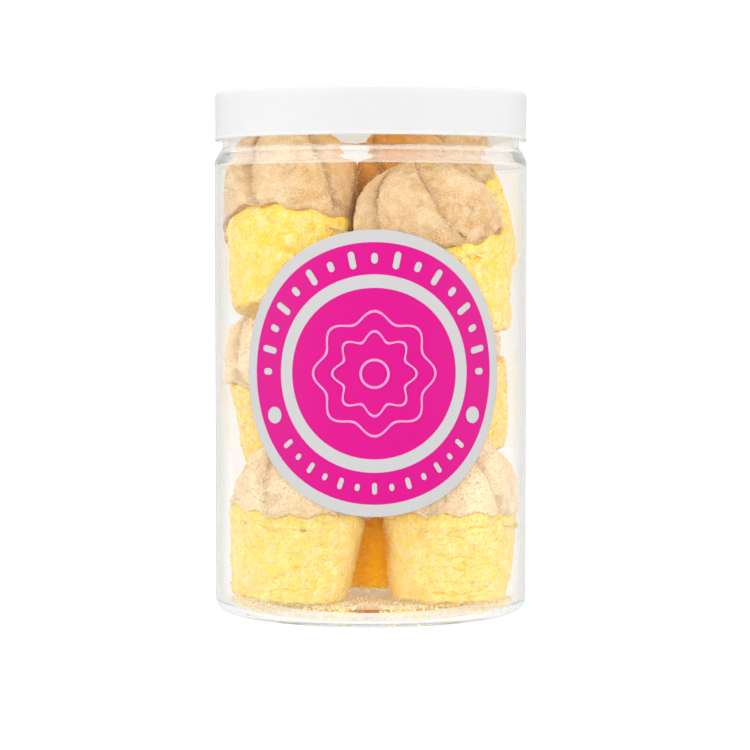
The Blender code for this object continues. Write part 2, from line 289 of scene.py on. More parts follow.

# White plastic lets some light in. The lining, the inside of the cap, glows faintly: painted light,
# an emission that stands in for light coming through the plastic. Shadows through it are pale.
flat = nodes.new("ShaderNodeVectorMath")
flat.operation = "MULTIPLY"
flat.inputs[1].default_value = (1, 1, 0)
links.new(where, flat.inputs[0])
from_axis = nodes.new("ShaderNodeVectorMath")
from_axis.operation = "LENGTH"
links.new(flat.outputs["Vector"], from_axis.inputs[0])
split = nodes.new("ShaderNodeSeparateXYZ")
links.new(where, split.inputs["Vector"])
lining = between(nodes, links, from_axis.outputs["Value"], *LINING_RADIUS, CAP_GLOW, 0.0)
under = between(nodes, links, split.outputs["Z"], *LINING_TOP, 1.0, 0.0)
links.new(worked_out(nodes, links, "MULTIPLY", lining, under), shader.inputs["Emission Color"])
shader.inputs["Emission Strength"].default_value = 1.0
path = nodes.new("ShaderNodeLightPath")
pale_shade = plain_shader(nodes, "ShaderNodeBsdfTransparent", CAP_SHADE)
whole = laid_over(nodes, links, path.outputs["Is Shadow Ray"], shader.outputs["BSDF"], pale_shade)
links.new(whole, nodes["Material Output"].inputs["Surface"])

cap_rows = lathe(rounded(CAP_CORNERS)[::-1], even_turns)
cap = surface("white_cap", cap_rows, white)
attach(cap, "root")
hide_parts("cap")


# The label. A round paper sticker on the front of the wall, white behind, printed in flat pink and
# pale grey rings, with a band of plain bars and a scalloped rosette drawn in one thin line.
LABEL_RADII = MM * np.array(
    [0, 8, 17, 25, 26.08, 28, 30.13, 33, 36.5, 39.92, 41.8, 43.5, 43.7, 43.7, 43.0, 20, 0])
LABEL_INKS = [0, 0, 0, 0, 1, 1, 0, 0, 0, 1, 1, 1, 1, 2, 2, 2]
LABEL_HEIGHT = 78.1 * MM
LABEL_TURN = math.radians(1.4)
LABEL_BACK = 50.28 * MM
LABEL_THICK = 0.22 * MM
PRINT_THICK = 0.09 * MM
BAND_MIDDLE = 35.0 * MM
LINE_WIDTH = 0.75 * MM
LABEL_GLOW = 0.25


def on_label(across, up, lift):
    """Points of the label's flat print, wrapped round the wall at the given radius from the axis."""
    turn = LABEL_TURN + across / LABEL_BACK
    return np.stack([lift * np.sin(turn), -lift * np.cos(turn), LABEL_HEIGHT + up], axis=-1)


pink, *_ = principled("label_pink", (0.377, 0.0008, 0.137), 0.5)
silver, *_ = principled("label_grey", (0.323, 0.319, 0.317), 0.5)
line_ink, *_ = principled("label_line", (0.51, 0.19, 0.35), 0.5)
backing, nodes, links, shader = principled("label_backing", (0.85, 0.85, 0.83), 0.6)
# The white back glows faintly: painted light, an emission that stands in for light coming through the
# paper.
shader.inputs["Emission Color"].default_value = (1, 1, 0.98, 1)
shader.inputs["Emission Strength"].default_value = LABEL_GLOW
for ink in (pink, silver, line_ink, backing):
    nodes, links = ink.node_tree.nodes, ink.node_tree.links
    shader = nodes["Principled BSDF"]
    shader.inputs["Specular IOR Level"].default_value = 0.15
    where = nodes.new("ShaderNodeTexCoord").outputs["Object"]
    roughened(nodes, links, shader, mottle(nodes, links, where, 700), 0.06, 0.1 * MM)

label_turns = np.linspace(0, 2 * math.pi, 128, endpoint=False)
lifts = np.where(np.arange(len(LABEL_RADII)) < 13, LABEL_BACK + LABEL_THICK, LABEL_BACK)
rings = LABEL_RADII[:, None]
label_rows = on_label(rings * np.cos(label_turns), rings * np.sin(label_turns), lifts[:, None])
label = surface("round_label", label_rows[::-1], [pink, silver, backing], patch=LABEL_INKS[::-1])
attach(label, "root")
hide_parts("label")


def printed(name, outlines, ink):
    """Flat print just proud of the label: each outline is a closed loop of (across, up) points."""
    points, faces = [], []
    for outline in outlines:
        start = len(points)
        points += on_label(outline[:, 0], outline[:, 1], LABEL_BACK + LABEL_THICK + PRINT_THICK).tolist()
        faces.append(list(range(start, start + len(outline))))
    mesh = bpy.data.meshes.new(name)
    mesh.from_pydata(points, [], faces)
    mesh.materials.append(ink)
    piece = bpy.data.objects.new(name, mesh)
    bpy.context.scene.collection.objects.link(piece)
    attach(piece, "root")
    return piece


def bar(turn, tall, wide):
    """A round-ended bar that points at the label's centre, at the given angle from its right."""
    ends = np.linspace(-math.pi / 2, math.pi / 2, 9)
    top = np.stack([(tall - wide) / 2 + wide / 2 * np.cos(ends), wide / 2 * np.sin(ends)], axis=-1)
    loop = np.vstack([top, -top]) + [BAND_MIDDLE, 0]
    spin = np.array([[math.cos(turn), math.sin(turn)], [-math.sin(turn), math.cos(turn)]])
    return loop @ spin


bars = [bar(math.radians(90 + 11.2 * k), (5.4 if k % 2 else 3.2) * MM, 2.0 * MM) for k in range(-8, 9)]
bars += [bar(math.radians(-90 + 8.6 * k), (2.2 if k % 2 else 3.6) * MM, 1.5 * MM) for k in range(-6, 7)]
bars += [bar(math.radians(turn), 5.2 * MM, 5.19 * MM) for turn in (-158, -22)]
printed("label_bars", bars, silver)


def ribbon(turns, radius, wide):
    """The quads of a thin closed line round the label's centre, whose radius follows the angle."""
    inner = np.stack([(radius - wide / 2) * np.cos(turns), (radius - wide / 2) * np.sin(turns)], axis=-1)
    outer = np.stack([(radius + wide / 2) * np.cos(turns), (radius + wide / 2) * np.sin(turns)], axis=-1)
    return [np.array([inner[i - 1], outer[i - 1], outer[i], inner[i]]) for i in range(len(turns))]


fine = np.linspace(0, 2 * math.pi, 288, endpoint=False)
lines = ribbon(fine, 17.5 * MM * (1 + 0.085 * np.cos(8 * fine)), LINE_WIDTH)
lines += ribbon(fine, 11.5 * MM * (1 + 0.12 * np.cos(8 * fine)), LINE_WIDTH)
lines += ribbon(fine[::3], 4.2 * MM + 0 * fine[::3], LINE_WIDTH)
printed("label_rosette", lines, line_ink)


# The marshmallows. Each is a yellow foam cup under a piped tan swirl, dusted with fine sugar and
# soft enough to take the shape of what it leans on: its neighbours, the wall and the floor.
# The sizes and places are those of the solids.
CUP_FOOT_RADIUS = 18.6 * MM
CUP_FOOT_ROUND = 3.4 * MM
CUP_RIM_RADIUS = 21.8 * MM
CUP_HEIGHT = 31.0 * MM
SEAM_OVERLAP = 0.3 * MM
SEAM_RADIUS = 20.4 * MM
SWIRL_RADIUS = 22.7 * MM
SWIRL_HEIGHT = 26.5 * MM
LIP_DROOP = 3.0 * MM
SWIRL_DOME = [(0.992, 0.03), (1.0, 0.12), (1.0, 0.26), (0.94, 0.44), (0.815, 0.61), (0.64, 0.76),
              (0.42, 0.88), (0.2, 0.955), (0.07, 0.985)]
FOLD_DEPTH = 0.26
FOLD_TWIST = 0.42
FOLD_RIDGE = 0.8
GAP = 0.3 * MM
ROOM_RADIUS = 48.9 * MM
ROOM_NECK_RADIUS = 45.9 * MM
ROOM_SHOULDER = (141.0 * MM, 145.5 * MM)
ROOM_FLOOR = 4.1 * MM
ROOM_CEILING = 163.8 * MM
SOFT_FROM = 0.9
MESH_COLUMNS = 280
MESH_ROWS = 140
SWELL = 0.55 * MM
RIPPLE = 0.3 * MM
DENT_DEPTH = 0.26 * MM
PORE_DEPTH = 0.2 * MM
CRACK_DEPTH = {"cup": 0.34 * MM, "swirl": 0.3 * MM}
CRACK_SHADE = {"cup": 0.55, "swirl": 0.35}
# How pale the pieces grow low in the jar: partly sugar dust, partly painted light on pieces that sit in
# shade.
DUST_AND_LIGHT_SHARE = {"cup": 0.28, "swirl": 0.8}
DUST_AND_LIGHT_BELOW = 112 * MM
DUST_AND_LIGHT_FADE = 25 * MM
# How near the jar's middle a richer, darker painted shade lies, where the pieces shade one another.
MIDDLE_SHADE_WITHIN = 27 * MM
MIDDLE_SHADE_FADE = 18 * MM
FIRST_SEED = 500


def lying(foot, lean, towards, turn, size, shift=(0, 0), tall=1.0, folds=5, slope=0.0, fine=1.0):
    """How one marshmallow lies: its foot in millimetres, its lean, the way it leans and its turn in
    degrees, its size, its swirl's shift, height, folds and slope, and how fine its mesh is."""
    return dict(foot=foot, lean=lean, towards=towards, turn=turn, size=size, shift=shift, tall=tall,
                folds=folds, slope=slope, fine=fine)


PIECES = {
    "low_left": lying((-26.0, -15.5, 4.4), 6.5, 0, 20, 1.0, slope=0.3),
    "low_right": lying((24.6, -14.5, 4.4), 1, 0, 75, 1.0, folds=6, slope=0.3),
    "low_back": lying((0.0, 27.0, 4.4), 0, 0, 10, 1.0, fine=0.8),
    "mid_left": lying((-23.5, 16.5, 46.0), 9, 245, 140, 0.97, shift=(-1.5, 0)),
    "mid_right": lying((27.0, 14.0, 48.5), 7, 180, 200, 0.98, shift=(-4, 0), folds=6),
    "mid_front": lying((0.5, -26.0, 54.0), 3, 90, 50, 0.86, fine=0.7),
    "top_left": lying((-25.0, -19.0, 95.0), 15, 78, 100, 1.0, shift=(-2, 0), tall=1.3),
    "top_right": lying((26.0, -16.5, 88.0), 8, 180, -8, 1.02, shift=(-4, -1.5), folds=6),
    "top_back": lying((34.5, 15.5, 105.0), 25, 182, 30, 1.0, shift=(-1, 0), tall=1.2),
    "top_corner": lying((-19.5, 27.0, 98.5), 4, 120, 60, 0.82, fine=0.7),
}


def noise(points, size, seed, octaves=1):
    """Smooth random values from -1 to 1 at each point: values on a cubic lattice of the given
    size, blended smoothly between its corners. Each further octave is half the size and strength."""
    total = np.zeros(points.shape[:-1])
    for octave in range(octaves):
        place = points * 2**octave / size + 17.3 * octave
        cell = np.floor(place).astype(np.int64)
        part = place - cell
        part = part * part * (3 - 2 * part)
        for corner in range(8):
            bit = np.array([corner & 1, corner >> 1 & 1, corner >> 2 & 1])
            key = ((cell + bit) * np.array([73856093, 19349663, 83492791])).sum(axis=-1) + seed * 2654435
            key = (key ^ key >> 13) * 1274126177 & 0x7FFFFFFF
            weight = np.prod(np.where(bit, part, 1 - part), axis=-1)
            total += weight * (((key ^ key >> 15) & 0xFFFF) / 32767.5 - 1) / 2**octave
    return total


def through_stations(stations, count, spread):
    """Smooth rows through stations of (radius, height): cubic curves whose slope at each station
    is half the step between its neighbours. Spread gives each step its share of the rows."""
    knots = np.stack([np.stack(station, axis=-1) for station in stations])
    slopes = np.gradient(knots, axis=0)
    steps = np.concatenate([[0], np.cumsum(spread)]) / np.sum(spread)
    at = np.interp(np.linspace(0, 1, count), steps, np.arange(len(stations)))
    low = np.minimum(at.astype(int), len(stations) - 2)
    t = (at - low)[:, None, None]
    return ((1 + 2 * t) * (1 - t) ** 2 * knots[low] + t * (1 - t) ** 2 * slopes[low]
            + t * t * (3 - 2 * t) * knots[low + 1] + t * t * (t - 1) * slopes[low + 1])


def droop(around, lie):
    """How far the lip hangs at each angle: two slow waves, and small scallops on top of them."""
    wander = 0.5 + 0.3 * np.sin(2 * around + lie["turn"]) + 0.2 * np.sin(3 * around - 2.1 * lie["turn"])
    scallop = 0.24 * np.sin(7 * around + lie["turn"]) * np.sin(4 * around + 2) + 0.13 * np.sin(13 * around)
    return LIP_DROOP * (np.clip(wander, 0, 1) + scallop)


def cup_rows(lie, count, around):
    """The cup: a foot with a rounded edge, a wall that widens upwards, and a top under the swirl."""
    hang = droop(around, lie)
    seam = CUP_HEIGHT + SEAM_OVERLAP / 2
    flat = 0 * around
    foot = CUP_FOOT_RADIUS * (1 + 0.02 * np.sin(2 * around + 3 * lie["turn"]))
    rim = CUP_RIM_RADIUS * (1 + 0.012 * np.sin(3 * around + 5 * lie["turn"]))
    stations = [
        (flat, flat), (0.5 * foot, flat), (foot - CUP_FOOT_ROUND, flat),
        (foot - 0.26 * CUP_FOOT_ROUND, 0.26 * CUP_FOOT_ROUND + flat), (foot, CUP_FOOT_ROUND + flat),
        (foot + 0.3 * (rim - foot), 0.28 * CUP_HEIGHT + flat),
        (foot + 0.62 * (rim - foot), 0.54 * CUP_HEIGHT + flat),
        (foot + 0.92 * (rim - foot), 0.76 * CUP_HEIGHT + flat), (1.01 * rim, CUP_HEIGHT - 4.0 * MM - hang),
        (0.995 * rim, CUP_HEIGHT - 1.7 * MM - hang), (0.965 * rim, CUP_HEIGHT - 0.4 * MM - hang),
        (SEAM_RADIUS - 0.6 * MM + flat, seam - hang), (15 * MM + flat, seam + flat), (flat, seam + flat),
    ]
    return through_stations(stations, count, [1.5, 2, 1, 1, 3, 4, 4, 3.5, 1.2, 0.9, 0.6, 1.2, 1.5])


def folded(around, share, lie):
    """How the folds swell or cut the swirl's radius. Each fold rises slowly to a ridge and drops
    quickly into a crease, like a lapped petal, and all twist as they rise. Returns that factor and
    how deep in a crease each point is, from 0 to 1."""
    fold = around * lie["folds"] / (2 * math.pi) + FOLD_TWIST * share + 0.11 * np.sin(around + lie["turn"])
    across = fold % 1.0
    rise = np.clip(across / FOLD_RIDGE, 0, 1) ** 0.75
    fall = np.clip((1 - across) / 0.2, 0, 1)
    lobe = rise * fall**1.4 * (3 - 2 * fall)
    uneven = 1 + 0.3 * np.sin(around + 1.7 * lie["turn"]) + 0.25 * np.sin(2 * around - lie["turn"])
    depth = FOLD_DEPTH * (1 - 1.3 * lie["slope"]) * uneven
    depth = depth * math.sin(math.pi * min(0.92, 0.16 + 0.84 * share))
    crease = np.clip(1 - lobe * 2.2, 0, 1) * np.where(across > 0.5, 1, 0.6)
    return 1 + depth * (1.3 * lobe - 0.85), crease * min(1.0, 0.35 + share)


def swirl_rows(lie, count, around):
    """The swirl: a flat underside, a rolled lip that hangs over the cup, and a folded dome, whose
    widths and heights are given as shares of the swirl's radius and height."""
    hang = droop(around, lie)
    seam = CUP_HEIGHT - SEAM_OVERLAP / 2
    height = SWIRL_HEIGHT * lie["tall"]
    flat = 0 * around
    stations = [(flat, seam + flat), (15 * MM + flat, seam + flat), (SEAM_RADIUS + flat, seam - hang),
                (0.955 * SWIRL_RADIUS + flat, seam - hang - 0.2 * MM)]
    stations += [(SWIRL_RADIUS * wide * (1 - lie["slope"] * high) * folded(around, high, lie)[0],
                  seam + height * high - hang * max(0.0, 1 - 3.2 * high)) for wide, high in SWIRL_DOME]
    stations.append((flat, seam + height + flat))
    return through_stations(stations, count, [1.5, 1.5, 1, 0.8, 1.2, 2.2, 3, 3, 3, 3, 2.5, 1.5, 1])


def placed(local, lie):
    """Turns, leans, sizes and moves a piece's own points, in metres, to where it lies in the jar."""
    turn, lean, towards = (math.radians(lie[key]) for key in ("turn", "lean", "towards"))
    spin = np.array([[math.cos(turn), -math.sin(turn), 0], [math.sin(turn), math.cos(turn), 0], [0, 0, 1]])
    axis = np.array([-math.sin(towards), math.cos(towards), 0])
    cross = np.array([[0, -axis[2], axis[1]], [axis[2], 0, -axis[0]], [-axis[1], axis[0], 0]])
    tip = np.eye(3) + math.sin(lean) * cross + (1 - math.cos(lean)) * cross @ cross
    return lie["size"] * (local @ spin.T) @ tip.T + np.array(lie["foot"]) * MM


def outward(rows):
    """Unit normals of a grid of points: the cross product of its steps round and along."""
    along = np.gradient(rows, axis=0)
    around = (np.roll(rows, -1, axis=1) - np.roll(rows, 1, axis=1)) / 2
    normal = np.cross(around, along)
    return normal / np.maximum(np.linalg.norm(normal, axis=-1, keepdims=True), 1e-12)


def formed(lie, kind):
    """A piece's own surface as (rows in its own frame, rows in place, crease depth, freedom). The
    last two run from 0 to 1, and a point's freedom is 0 where the cup and swirl are joined."""
    columns = int(MESH_COLUMNS * lie["fine"])
    count = int(MESH_ROWS * lie["fine"])
    around = np.linspace(0, 2 * math.pi, columns, endpoint=False)
    outline = (cup_rows if kind == "cup" else swirl_rows)(lie, count, around)
    radius = outline[..., 0]
    local = np.stack([radius * np.cos(around), radius * np.sin(around), outline[..., 1]], axis=-1)
    share = np.clip((local[..., 2] - CUP_HEIGHT) / (SWIRL_HEIGHT * lie["tall"]), 0, 1)
    crease = 0 * share
    if kind == "swirl":
        crease = np.stack([folded(around, high, lie)[1] for high in share.mean(axis=1)])
        crease *= np.clip(share * 8, 0, 1)
        turn = math.radians(lie["turn"])
        loose = np.clip((outline[..., 0] - SEAM_RADIUS) / MM + 20 * share, 0, 1)
        local[..., 0] += loose * (math.cos(turn) * lie["shift"][0] + math.sin(turn) * lie["shift"][1]) * MM
        local[..., 1] += loose * (math.cos(turn) * lie["shift"][1] - math.sin(turn) * lie["shift"][0]) * MM
    seed = int(lie["turn"]) + FIRST_SEED
    away = outward(local)
    from_seam = np.hypot(outline[..., 0] - SEAM_RADIUS, outline[..., 1] - CUP_HEIGHT + droop(around, lie))
    inner = (outline[..., 0] < SEAM_RADIUS) & (np.abs(outline[..., 1] - CUP_HEIGHT) < LIP_DROOP + MM)
    free = np.where(inner, 0, np.clip((from_seam - 0.6 * MM) / (2.4 * MM), 0, 1))
    swell = SWELL * noise(local, 9 * MM, seed) + RIPPLE * noise(local, 4 * MM, seed + 1)
    local = local + away * (free * swell)[..., None]
    return local, placed(local, lie), crease, free


def contacts(clouds):
    """For each piece, the planes (outward normal, distance) where its neighbours press it, across
    the direction in which the two overlap least."""
    k = np.arange(600) + 0.5
    z = 1 - 2 * k / 600
    turn = k * math.pi * (3 - math.sqrt(5))
    ways = np.column_stack([np.sqrt(1 - z * z) * np.cos(turn), np.sqrt(1 - z * z) * np.sin(turn), z])
    reach = {name: (cloud @ ways.T).max(axis=0) for name, cloud in clouds.items()}
    begin = {name: (cloud @ ways.T).min(axis=0) for name, cloud in clouds.items()}
    planes = {name: [] for name in clouds}
    names = list(clouds)
    for i, first in enumerate(names):
        for second in names[i + 1:]:
            overlap = reach[first] - begin[second]
            best = int(np.argmin(overlap))
            if overlap[best] > -GAP:
                middle = (reach[first][best] + begin[second][best]) / 2
                planes[first].append((ways[best], middle - GAP / 2))
                planes[second].append((-ways[best], -middle - GAP / 2))
    return planes


def room_left(points, planes):
    """How far inside the jar and its neighbours' planes each point is. Below zero it is outside."""
    rise = np.clip((points[..., 2] - ROOM_SHOULDER[0]) / (ROOM_SHOULDER[1] - ROOM_SHOULDER[0]), 0, 1)
    width = ROOM_RADIUS + (ROOM_NECK_RADIUS - ROOM_RADIUS) * rise
    across = np.hypot(points[..., 0], points[..., 1])
    room = np.minimum.reduce([width - across, points[..., 2] - ROOM_FLOOR, ROOM_CEILING - points[..., 2]])
    for normal, distance in planes:
        room = np.minimum(room, distance - points @ normal)
    return room


def pressed(points, centre, planes):
    """Draws points softly towards the centre: unmoved in the first nine tenths of the room along
    their ray, and ever closer to its end beyond that."""
    low = np.zeros(points.shape[:-1])
    high = np.full(points.shape[:-1], 2.0)
    for _ in range(18):
        middle = (low + high) / 2
        inside = room_left(centre + middle[..., None] * (points - centre), planes) >= 0
        low = np.where(inside, middle, low)
        high = np.where(inside, high, middle)
    beyond = 1 / np.maximum(low, 0.05)
    soft = SOFT_FROM + (1 - SOFT_FROM) * np.tanh((beyond - SOFT_FROM) / (1 - SOFT_FROM))
    share = np.where(beyond < SOFT_FROM, 1.0, soft / beyond)
    return centre + share[..., None] * (points - centre)


def relief(local, kind, seed):
    """Depth of the fine relief, in metres, and a crack mask: shallow dents, pores, and a few long
    cracks where a stretched noise crosses zero, only in some patches."""
    depth = DENT_DEPTH * (1 + noise(local, 2.4 * MM, seed + 2))
    depth += PORE_DEPTH * (1 + noise(local, 1.25 * MM, seed + 3))
    level = local * (np.array([1, 1, 2.6]) if kind == "cup" else np.array([1, 1, 1.4]))
    bent = noise(level, 13 * MM, seed + 4, octaves=3)
    patch = np.clip(2.6 * noise(local, 9 * MM, seed + 5) + 0.55, 0, 1)
    crack = np.clip(1 - np.abs(bent) / 0.085, 0, 1) ** 1.2 * patch
    depth += CRACK_DEPTH[kind] * crack
    return depth, crack


dust = bpy.data.node_groups.new("sugar_dust", "ShaderNodeTree")
for socket, usual in (("Size", 1400), ("Cover", 0.4)):
    dust.interface.new_socket(socket, in_out="INPUT", socket_type="NodeSocketFloat").default_value = usual
for socket in ("Grains", "Height", "Hollows"):
    dust.interface.new_socket(socket, in_out="OUTPUT", socket_type="NodeSocketFloat")
nodes, links = dust.nodes, dust.links
given = nodes.new("NodeGroupInput")
result = nodes.new("NodeGroupOutput")
where = nodes.new("ShaderNodeTexCoord").outputs["Object"]
cells = nodes.new("ShaderNodeTexVoronoi")
links.new(where, cells.inputs["Vector"])
links.new(given.outputs["Size"], cells.inputs["Scale"])
pick = nodes.new("ShaderNodeSeparateColor")
links.new(cells.outputs["Color"], pick.inputs["Color"])
chosen = worked_out(nodes, links, "LESS_THAN", pick.outputs["Red"], given.outputs["Cover"])
near = between(nodes, links, cells.outputs["Distance"], 0.55, 0.25)
grains = worked_out(nodes, links, "MULTIPLY", near, chosen)
links.new(grains, result.inputs["Grains"])
rough = nodes.new("ShaderNodeTexNoise")
rough.inputs["Detail"].default_value = 3
links.new(where, rough.inputs["Vector"])
links.new(worked_out(nodes, links, "MULTIPLY", given.outputs["Size"], 0.6), rough.inputs["Scale"])
raised = worked_out(nodes, links, "MULTIPLY_ADD", grains, 0.55, rough.outputs["Fac"])
links.new(raised, result.inputs["Height"])
links.new(between(nodes, links, rough.outputs["Fac"], 0.52, 0.34, 0.0, 0.5), result.inputs["Hollows"])


def tinted(nodes, links, share, under, over):
    """One colour blended into another, by a share from 0 to 1."""
    blend = nodes.new("ShaderNodeMix")
    blend.data_type = "RGBA"
    links.new(share, blend.inputs["Factor"])
    feed(links, blend.inputs["A"], under)
    feed(links, blend.inputs["B"], over)
    return blend.outputs["Result"]


def foam(name, base, pale, hollow, inner, deep, sugar, cover, grain, bumps, glow, soak):
    """Dusty foam: base, drifting to pale in patches and to hollow between its bumps, to sugar where
    sugar dust and painted light make it paler, richer and darker with painted shade towards the
    jar's middle, where the pieces shade one another, dark with painted shade in its cracks and
    creases and along the seam under the swirl's lip, and speckled with sugar grains, of which grain
    lie side by side in a metre, over bumps of the given height. The share glow of the light soaks
    in, as far as soak for each colour."""
    made, nodes, links, shader = principled(name, base, 0.82, Subsurface_Weight=glow, Subsurface_Scale=1.0)
    shader.inputs["Subsurface Radius"].default_value = soak
    shader.inputs["Specular IOR Level"].default_value = 0.0
    where = nodes.new("ShaderNodeTexCoord").outputs["Object"]
    patches = between(nodes, links, mottle(nodes, links, where, 300, 6), 0.4, 0.65)
    dusting = nodes.new("ShaderNodeGroup")
    dusting.node_tree = dust
    dusting.inputs["Size"].default_value = grain
    dusting.inputs["Cover"].default_value = cover
    masks = {}
    for mask in ("painted_middle_shade", "painted_shade", "dust_and_light"):
        masks[mask] = nodes.new("ShaderNodeAttribute")
        masks[mask].attribute_name = mask
    colour = (*base, 1)
    for share, tint in ((patches, pale), (masks["dust_and_light"].outputs["Fac"], sugar),
                        (dusting.outputs["Hollows"], hollow), (dusting.outputs["Grains"], sugar),
                        (masks["painted_middle_shade"].outputs["Fac"], inner), (masks["painted_shade"].outputs["Fac"], deep)):
        colour = tinted(nodes, links, share, colour, (*tint, 1))
    links.new(colour, shader.inputs["Base Color"])
    roughened(nodes, links, shader, dusting.outputs["Height"], 0.9, bumps)
    return made


yellow = foam(
    "yellow_foam", base=(0.98, 0.6, 0.088), pale=(0.98, 0.72, 0.31), hollow=(0.98, 0.63, 0.045),
    inner=(1.0, 0.47, 0.001), deep=(0.97, 0.48, 0.012), sugar=(0.98, 0.8, 0.46),
    cover=0.36, grain=1400, bumps=0.0011, glow=0.5, soak=(0.006, 0.0022, 0.0004))
tan = foam(
    "tan_foam", base=(0.6, 0.37, 0.155), pale=(0.74, 0.55, 0.335), hollow=(0.6, 0.39, 0.185),
    inner=(0.68, 0.32, 0.065), deep=(0.29, 0.13, 0.045), sugar=(0.94, 0.76, 0.52),
    cover=0.42, grain=2100, bumps=0.0006, glow=0.4, soak=(0.003, 0.0014, 0.0005))

shapes = {(name, kind): formed(lie, kind) for name, lie in PIECES.items() for kind in ("cup", "swirl")}
clouds = {name: np.vstack([shapes[name, kind][1][::4, ::4].reshape(-1, 3) for kind in ("cup", "swirl")])
          for name in PIECES}
planes = contacts(clouds)

# Each surface is pressed into its room and roughened. Painted shade darkens its cracks, its creases
# and the seam where the swirl's lip meets the cup, and a richer painted shade lies towards the jar's
# middle, where the pieces shade one another. Low in the jar it is paler, with sugar dust and painted
# light on pieces in shade. The swirls have pale drifts higher up too.
skins = {}
for (name, kind), (local, rows, crease, free) in shapes.items():
    lie = PIECES[name]
    centre = placed(np.array([0, 0, CUP_HEIGHT]), lie)
    rows = pressed(rows, centre, planes[name])
    depth, crack = relief(local, kind, int(lie["turn"]) + FIRST_SEED)
    away = outward(rows)
    rows = rows - away * (free * depth)[..., None]
    for end in (0, -1):
        rows[end] = rows[end].mean(axis=0)
    piece = surface(f"{name}_{kind}_foam", rows, yellow if kind == "cup" else tan)
    # Painted shade: darker colour in the cracks, in the creases and along the seam under the swirl's lip.
    painted_shade = np.clip(CRACK_SHADE[kind] * crack + 0.9 * crease**1.5 + 0.35 * (1 - free) ** 2, 0, 1)
    # Painted shade, richer and darker, towards the jar's middle.
    painted_middle_shade = np.clip((MIDDLE_SHADE_WITHIN - np.hypot(rows[..., 0], rows[..., 1])) / MIDDLE_SHADE_FADE, 0, 1)
    # Paler low in the jar: sugar dust, and painted light on pieces that sit in shade.
    dust_and_light = np.clip((DUST_AND_LIGHT_BELOW - rows[..., 2]) / DUST_AND_LIGHT_FADE, 0, 1) * (1 - 0.5 * painted_shade)
    dust_and_light *= DUST_AND_LIGHT_SHARE[kind] * (1 + 0.5 * noise(local, 6 * MM, 9))
    if kind == "swirl":
        drifts = np.clip(1.8 * noise(local, 12 * MM, 4) + 0.2, 0, 1)
        dust_and_light = np.maximum(dust_and_light, 0.35 * drifts * (1 - crease))
        painted_shade *= 1 - 0.6 * dust_and_light
    for mask, share in (("painted_shade", painted_shade), ("painted_middle_shade", painted_middle_shade), ("dust_and_light", dust_and_light)):
        values = np.concatenate([share[1:-1].ravel(), share[0, :1], share[-1, :1]])
        piece.data.attributes.new(mask, "FLOAT", "POINT").data.foreach_set("value", values)
    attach(piece, "root")
    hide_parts(f"{name}_{kind}")
    skins[name, kind] = (local, rows, away)


# The loose sugar. Small clear-white crystals that have come off the marshmallows: a dusting on
# each piece, thickest round its foot, a drift on the jar's floor, and a few stuck to the wall.
GRAINS_ON_EACH = {"cup": 1500, "swirl": 1300}
GRAINS_ON_FLOOR = 6000
GRAINS_ON_WALL = 900
DRIFT_RADIUS = 48.6 * MM
WALL_RADIUS = 49.08 * MM
CLEAR_OF_WALL = 49.0 * MM
draw = np.random.default_rng(41)
grit = {}
for kind, dull, bright in (("cup", (0.95, 0.6, 0.2), (0.96, 0.76, 0.5)),
                           ("swirl", (0.7, 0.5, 0.29), (0.86, 0.73, 0.56)),
                           ("loose", (0.97, 0.68, 0.2), (0.97, 0.9, 0.7))):
    grit[kind], nodes, links, shader = principled(
        f"{kind}_sugar", bright, 0.3, Subsurface_Weight=0.3, Subsurface_Scale=1.0)
    shader.inputs["Subsurface Radius"].default_value = (0.0004, 0.0004, 0.0003)
    where = nodes.new("ShaderNodeTexCoord").outputs["Object"]
    colour = tinted(nodes, links, mottle(nodes, links, where, 900), (*dull, 1), (*bright, 1))
    links.new(colour, shader.inputs["Base Color"])


def crystals(name, spots, sizes, finish):
    """One mesh of tiny boxes at the spots, each turned at random, with sides of the given sizes."""
    count = len(spots)
    box = np.array([[x, y, z] for x in (-1, 1) for y in (-1, 1) for z in (-1, 1)]) / 2
    faces = np.array([[0, 1, 3, 2], [4, 6, 7, 5], [0, 4, 5, 1], [2, 3, 7, 6], [0, 2, 6, 4], [1, 5, 7, 3]])
    turn = draw.normal(size=(count, 4))
    w, x, y, z = (turn / np.linalg.norm(turn, axis=1, keepdims=True)).T
    parts = [1 - 2 * (y * y + z * z), 2 * (x * y - w * z), 2 * (x * z + w * y),
             2 * (x * y + w * z), 1 - 2 * (x * x + z * z), 2 * (y * z - w * x),
             2 * (x * z - w * y), 2 * (y * z + w * x), 1 - 2 * (x * x + y * y)]
    spin = np.stack(parts, axis=-1).reshape(-1, 3, 3)
    stretch = sizes[:, None] * draw.uniform(0.7, 1.3, (count, 3))
    corners = np.einsum("nij,nkj->nki", spin, box[None] * stretch[:, None]) + spots[:, None]
    mesh = bpy.data.meshes.new(name)
    mesh.from_pydata(corners.reshape(-1, 3).tolist(), [],
                     (faces[None] + 8 * np.arange(count)[:, None, None]).reshape(-1, 4).tolist())
    mesh.materials.append(finish)
    piece = bpy.data.objects.new(name, mesh)
    bpy.context.scene.collection.objects.link(piece)
    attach(piece, "root")
    return piece


